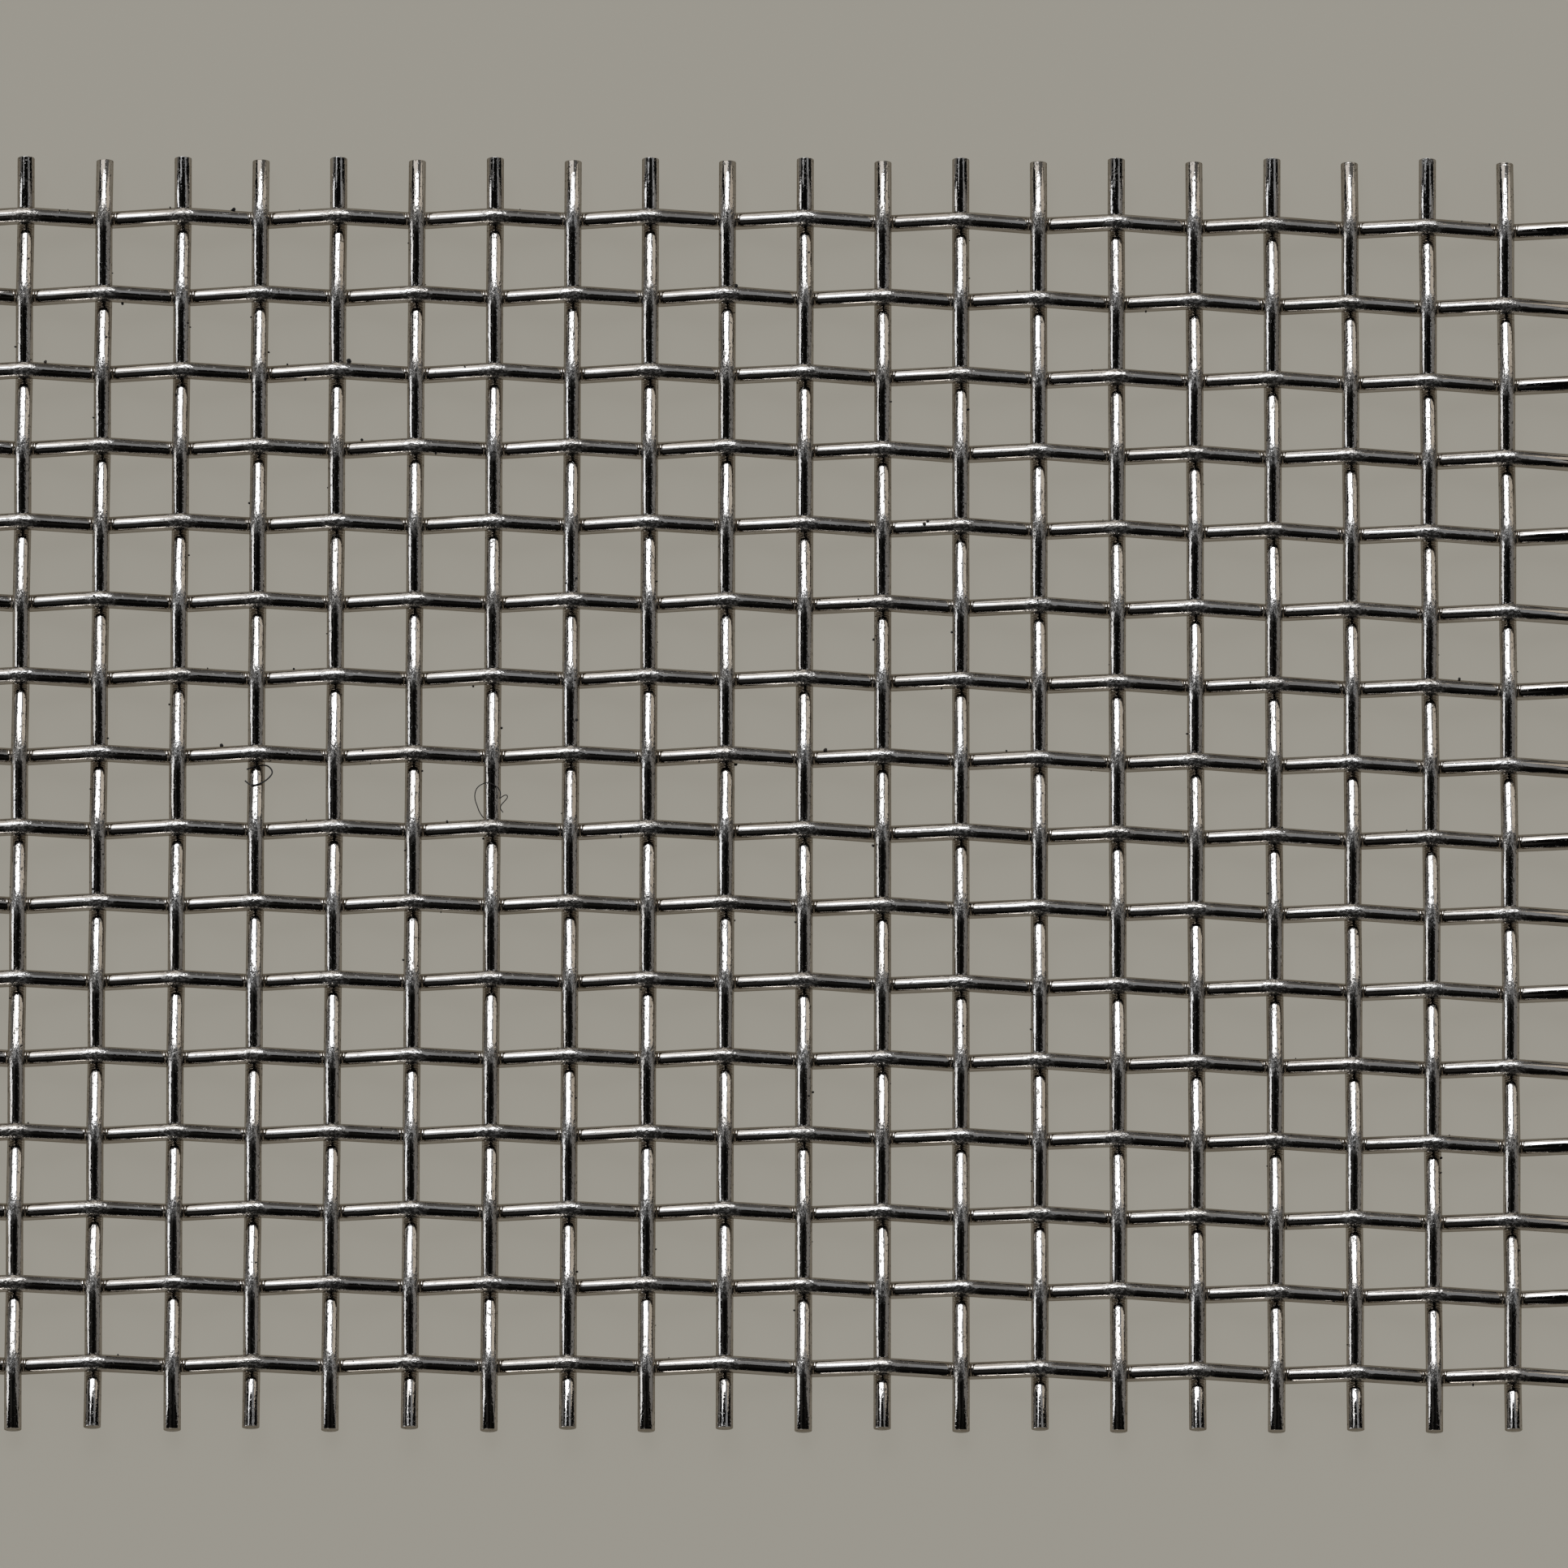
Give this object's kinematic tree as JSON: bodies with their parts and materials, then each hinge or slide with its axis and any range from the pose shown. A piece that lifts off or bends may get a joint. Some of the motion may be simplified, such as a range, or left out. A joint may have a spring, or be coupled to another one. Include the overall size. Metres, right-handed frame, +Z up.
{
  "type": "wire gauze",
  "caption": "Flat rectangle of plain-woven square-mesh steel wire cloth, sheared along its edges, that holds glassware over a flame or screens and filters.",
  "frame": {"origin": "middle of the sheet's rectangle, on the surface that the lowest wire crests rest on", "axes": "+Z up through the sheet, +X along the weft wires, +Y along the warp wires"},
  "size_m": [0.0264, 0.0212, 0.0006],
  "materials": {
    "steel_wire": "bright drawn stainless wire with fine die lines, dull on the crests"
  },
  "bodies": {
    "root": {"warp_wire_01": "steel_wire", "warp_wire_02": "steel_wire", "warp_wire_03": "steel_wire", "warp_wire_04": "steel_wire", "warp_wire_05": "steel_wire", "warp_wire_06": "steel_wire", "warp_wire_07": "steel_wire", "warp_wire_08": "steel_wire", "warp_wire_09": "steel_wire", "warp_wire_10": "steel_wire", "warp_wire_11": "steel_wire", "warp_wire_12": "steel_wire", "warp_wire_13": "steel_wire", "warp_wire_14": "steel_wire", "warp_wire_15": "steel_wire", "warp_wire_16": "steel_wire", "warp_wire_17": "steel_wire", "warp_wire_18": "steel_wire", "warp_wire_19": "steel_wire", "warp_wire_20": "steel_wire", "weft_wire_01": "steel_wire", "weft_wire_02": "steel_wire", "weft_wire_03": "steel_wire", "weft_wire_04": "steel_wire", "weft_wire_05": "steel_wire", "weft_wire_06": "steel_wire", "weft_wire_07": "steel_wire", "weft_wire_08": "steel_wire", "weft_wire_09": "steel_wire", "weft_wire_10": "steel_wire", "weft_wire_11": "steel_wire", "weft_wire_12": "steel_wire", "weft_wire_13": "steel_wire", "weft_wire_14": "steel_wire", "weft_wire_15": "steel_wire", "weft_wire_16": "steel_wire"}
  },
  "joints": []
}
